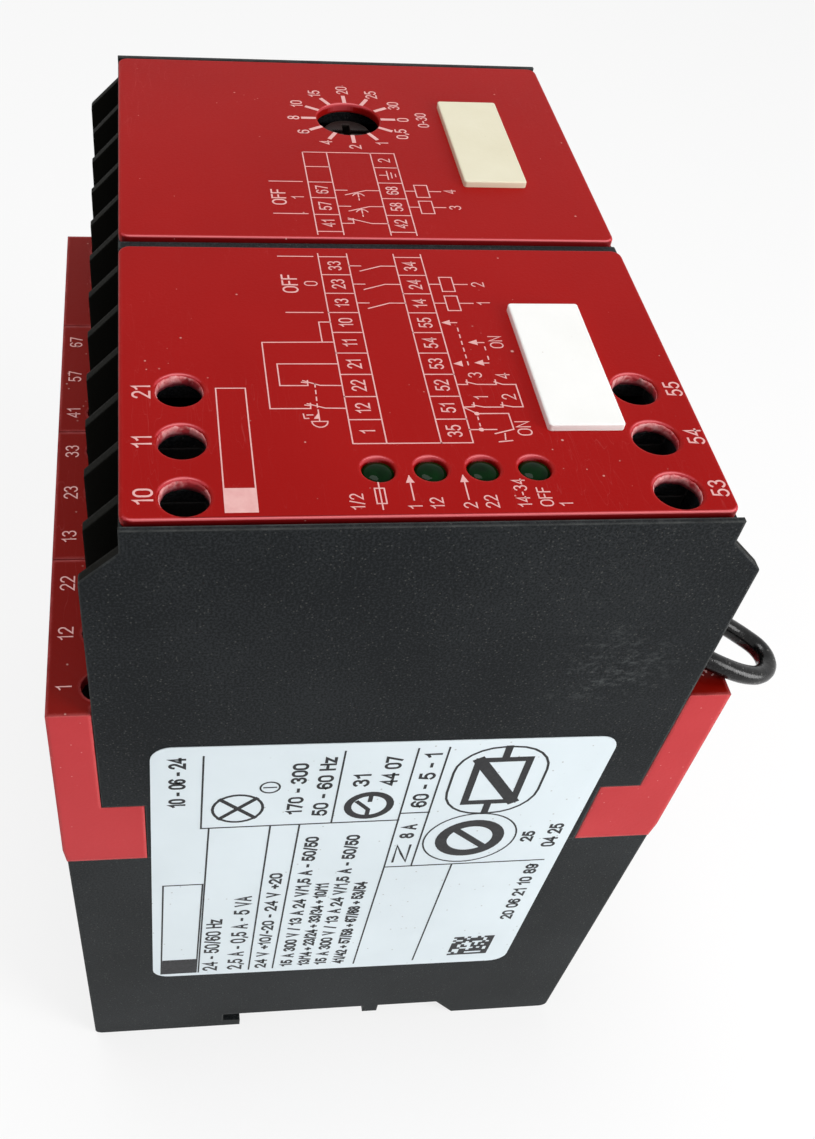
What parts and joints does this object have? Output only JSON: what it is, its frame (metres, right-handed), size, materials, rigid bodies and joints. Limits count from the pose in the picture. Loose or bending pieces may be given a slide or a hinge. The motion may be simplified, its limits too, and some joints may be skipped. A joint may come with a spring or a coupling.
{
  "type": "safety relay",
  "caption": "Safety relay with a delayed output for a top-hat rail: black finned housing, red terminal covers and front plates, status lamps and a rotary time selector.",
  "frame": {"origin": "middle of the back, on the plane of the two feet that meet the mounting wall", "axes": "+X across the poles, left to right as the front is read; +Y up on the wall; +Z out of the front"},
  "size_m": [0.0901, 0.083, 0.1147],
  "materials": {
    "housing_black": "fine grain, satin",
    "cover_red": "moulded, satin",
    "plate_red": "fine matt texture with pale pink print",
    "tag_cream": "aged, matt",
    "tag_white": "matt",
    "label_film": "matt film with black ruling",
    "latch_black": "satin",
    "spring_steel": "drawn wire",
    "block_grey": "satin",
    "clamp_brass": "nickel bright",
    "screw_zinc": "zinc plated",
    "led_lens": "dark green lens, unlit",
    "selector_black": "satin",
    "rotor_black": "half gloss",
    "board_green": "solder mask",
    "relay_case": "satin",
    "link_black": "satin",
    "capacitor_sleeve": "shrunk sleeve",
    "choke_wire": "enamelled winding",
    "fuse_coat": "dipped coat",
    "chip_black": "moulded",
    "wire_black": "smooth insulation",
    "ferrule_black": "sleeve, tinned pin"
  },
  "bodies": {
    "housing": {"base_housing": "housing_black", "hood": "housing_black", "latch_spring": "spring_steel", "upper_terminal_cover_1": "cover_red", "upper_terminal_cover_2": "cover_red", "upper_terminal_cover_3": "cover_red", "upper_terminal_cover_4": "cover_red", "upper_terminal_block_1": "block_grey", "upper_terminal_block_2": "block_grey", "upper_terminal_block_3": "block_grey", "upper_front_terminal_block": "block_grey", "upper_rear_clamps": "clamp_brass", "upper_rear_screws": "screw_zinc", "upper_front_clamps": "clamp_brass", "upper_front_screws": "screw_zinc", "lower_terminal_cover_1": "cover_red", "lower_terminal_cover_2": "cover_red", "lower_terminal_cover_3": "cover_red", "lower_terminal_cover_4": "cover_red", "lower_terminal_block_1": "block_grey", "lower_terminal_block_2": "block_grey", "lower_terminal_block_3": "block_grey", "lower_terminal_block_4": "block_grey", "lower_front_terminal_block": "block_grey", "lower_rear_clamps": "clamp_brass", "lower_rear_screws": "screw_zinc", "lower_front_clamps": "clamp_brass", "lower_front_screws": "screw_zinc", "front_plate_left": "plate_red", "front_plate_right": "plate_red", "marker_tag_left": "tag_white", "marker_tag_right": "tag_cream", "rating_label": "label_film", "time_selector_body": "selector_black", "main_board": "board_green", "logic_board": "board_green", "display_board": "board_green", "board_link": "link_black", "display_link": "link_black", "capacitors": "capacitor_sleeve", "choke": "choke_wire", "resettable_fuse": "fuse_coat", "controller_1": "chip_black", "controller_2": "chip_black", "jumper_wire": "wire_black", "jumper_ferrules": "ferrule_black", "status_led_1": "led_lens", "relay_1": "relay_case", "status_led_2": "led_lens", "relay_2": "relay_case", "status_led_3": "led_lens", "relay_3": "relay_case", "status_led_4": "led_lens", "relay_4": "relay_case"},
    "latch": {"rail_latch": "latch_black"},
    "selector": {"time_selector_rotor": "rotor_black"}
  },
  "joints": [
    {"name": "latch_slide", "type": "slide", "parent": "housing", "child": "latch", "axis": [0, 1, 0], "range_m": [-0.003, 0], "stiffness_N_per_m": 600, "springref_m": 0.0015, "deforming": ["latch_spring"]},
    {"name": "selector_turn", "type": "hinge", "parent": "housing", "child": "selector", "pos_m": [0.0286, -0.0006, 0.1123], "axis": [0, 0, 1], "range_deg": [-330, 0]}
  ]
}
